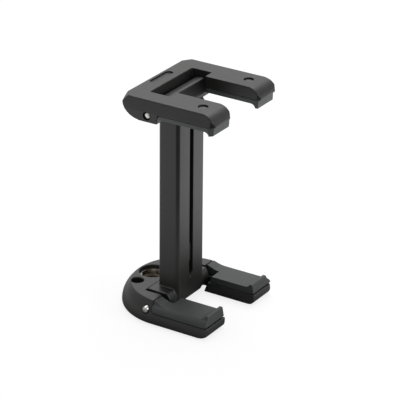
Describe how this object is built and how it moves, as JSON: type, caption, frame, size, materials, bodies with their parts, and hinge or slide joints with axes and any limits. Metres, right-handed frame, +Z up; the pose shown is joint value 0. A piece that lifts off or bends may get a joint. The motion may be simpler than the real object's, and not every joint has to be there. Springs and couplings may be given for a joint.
{
  "type": "tripod phone mount adapter",
  "caption": "Folding spring clamp that grips a phone between padded U-shaped jaws on a telescoping column, with a threaded tripod insert in its base.",
  "frame": {"origin": "bottom centre of the closed clamp's bounding box, on the sole of the lower jaw", "axes": "+Z up along the column, -Y towards the phone side, +X across the jaws"},
  "size_m": [0.0354, 0.0368, 0.0663],
  "materials": {
    "black_plastic": "fine satin moulding texture",
    "rubber_pad": "soft matt",
    "bright_steel": "bright",
    "insert_metal": "plated"
  },
  "bodies": {
    "base": {"lower_jaw": "black_plastic", "tripod_insert": "insert_metal", "lower_pad_left": "rubber_pad", "lower_pad_right": "rubber_pad", "lower_hinge_pin": "bright_steel", "lower_washer_left": "bright_steel", "lower_washer_right": "bright_steel"},
    "column": {"sleeve": "black_plastic", "spring_anchor": "bright_steel", "anchor_pin": "bright_steel", "spring_left": "bright_steel", "spring_right": "bright_steel"},
    "inner_slide": {"slide": "black_plastic", "stop_key": "black_plastic", "spring_hanger": "bright_steel"},
    "top_jaw": {"upper_jaw": "black_plastic", "upper_pad_left": "rubber_pad", "upper_pad_right": "rubber_pad", "upper_hinge_pin": "bright_steel", "upper_washer_left": "bright_steel", "upper_washer_right": "bright_steel"}
  },
  "joints": [
    {"name": "column_fold", "type": "hinge", "parent": "base", "child": "column", "pos_m": [0, 0.00263, 0.004], "axis": [1, 0, 0], "range_deg": [0, 90]},
    {"name": "clamp_slide", "type": "slide", "parent": "column", "child": "inner_slide", "axis": [0, 0, 1], "range_m": [0, 0.035], "stiffness_N_per_m": 100, "springref_m": -0.03, "deforming": ["spring_left", "spring_right"]},
    {"name": "upper_jaw_fold", "type": "hinge", "parent": "inner_slide", "child": "top_jaw", "pos_m": [0, 0.00263, 0.0618], "axis": [1, 0, 0], "range_deg": [0, 90]}
  ]
}
